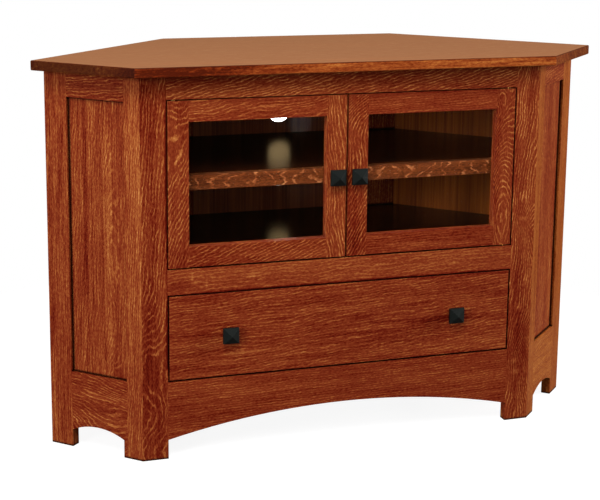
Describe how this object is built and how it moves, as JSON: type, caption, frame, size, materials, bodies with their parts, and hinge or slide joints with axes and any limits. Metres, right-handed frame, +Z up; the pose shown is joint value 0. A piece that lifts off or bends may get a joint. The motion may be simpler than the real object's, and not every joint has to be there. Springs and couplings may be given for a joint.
{
  "type": "corner cabinet",
  "caption": "Low six-sided oak corner cabinet: glazed doors with a shelf behind, over a wide dovetailed drawer and an arched base, with cord holes in the back.",
  "frame": {"origin": "on the floor, under the centre of the cabinet's bounding box", "axes": "+X to the right as seen from the front, +Y from the front to the back, +Z up"},
  "size_m": [1.1678, 0.488, 0.762],
  "materials": {
    "stained_oak": "satin",
    "interior_board": "satin",
    "drawer_wood": "satin",
    "clear_glass": "polished",
    "black_iron": "satin",
    "slide_steel": "zinc plated",
    "hinge_brass": "satin",
    "catch_plastic": "matte"
  },
  "bodies": {
    "cabinet": {"top_slab": "stained_oak", "face_stile_left": "stained_oak", "face_stile_right": "stained_oak", "face_top_rail": "stained_oak", "face_middle_rail": "stained_oak", "face_bottom_rail": "stained_oak", "side_front_stile_left": "stained_oak", "side_front_stile_right": "stained_oak", "side_rear_stile_left": "stained_oak", "side_rear_stile_right": "stained_oak", "side_top_rail_left": "stained_oak", "side_top_rail_right": "stained_oak", "side_bottom_rail_left": "stained_oak", "side_bottom_rail_right": "stained_oak", "side_panel_left": "stained_oak", "side_panel_right": "stained_oak", "rear_post_left": "stained_oak", "rear_post_right": "stained_oak", "shelf_nosing": "stained_oak", "back_panel": "interior_board", "rear_corner_panel_left": "interior_board", "rear_corner_panel_right": "interior_board", "cabinet_floor": "interior_board", "compartment_floor": "interior_board", "shelf_board": "interior_board", "side_cleats": "interior_board", "back_cleats": "interior_board", "slide_cleat_left": "interior_board", "slide_cleat_right": "interior_board", "hinge_frame_leaves": "hinge_brass", "magnetic_catch": "catch_plastic", "slide_cabinet_members": "slide_steel"},
    "door_left": {"door_left_hinge_stile": "stained_oak", "door_left_lock_stile": "stained_oak", "door_left_top_rail": "stained_oak", "door_left_bottom_rail": "stained_oak", "door_left_glass_stops": "stained_oak", "door_left_glass": "clear_glass", "door_left_knob": "black_iron", "door_left_hinge_leaves": "hinge_brass", "door_left_catch_plate": "slide_steel"},
    "door_right": {"door_right_hinge_stile": "stained_oak", "door_right_lock_stile": "stained_oak", "door_right_top_rail": "stained_oak", "door_right_bottom_rail": "stained_oak", "door_right_glass_stops": "stained_oak", "door_right_glass": "clear_glass", "door_right_knob": "black_iron", "door_right_hinge_leaves": "hinge_brass", "door_right_catch_plate": "slide_steel"},
    "drawer": {"drawer_front": "stained_oak", "drawer_box_front": "drawer_wood", "drawer_back": "drawer_wood", "drawer_side_left": "drawer_wood", "drawer_side_right": "drawer_wood", "drawer_bottom": "drawer_wood", "drawer_knob_left": "black_iron", "drawer_knob_right": "black_iron", "slide_drawer_members": "slide_steel"},
    "slide_middles": {"slide_middle_members": "slide_steel"}
  },
  "joints": [
    {"name": "door_left_hinge", "type": "hinge", "parent": "cabinet", "child": "door_left", "pos_m": [-0.3415, -0.201, 0.536], "axis": [0, 0, -1], "range_deg": [0, 110]},
    {"name": "door_right_hinge", "type": "hinge", "parent": "cabinet", "child": "door_right", "pos_m": [0.3415, -0.201, 0.536], "axis": [0, 0, 1], "range_deg": [0, 110]},
    {"name": "drawer_slide", "type": "slide", "parent": "cabinet", "child": "drawer", "axis": [0, -1, 0], "range_m": [0, 0.28]},
    {"name": "slide_middle", "type": "slide", "parent": "cabinet", "child": "slide_middles", "axis": [0, -1, 0], "range_m": [0, 0.14]}
  ],
  "couplings": [
    {"joint": "slide_middle", "follows": "drawer_slide", "ratio": 0.5}
  ]
}
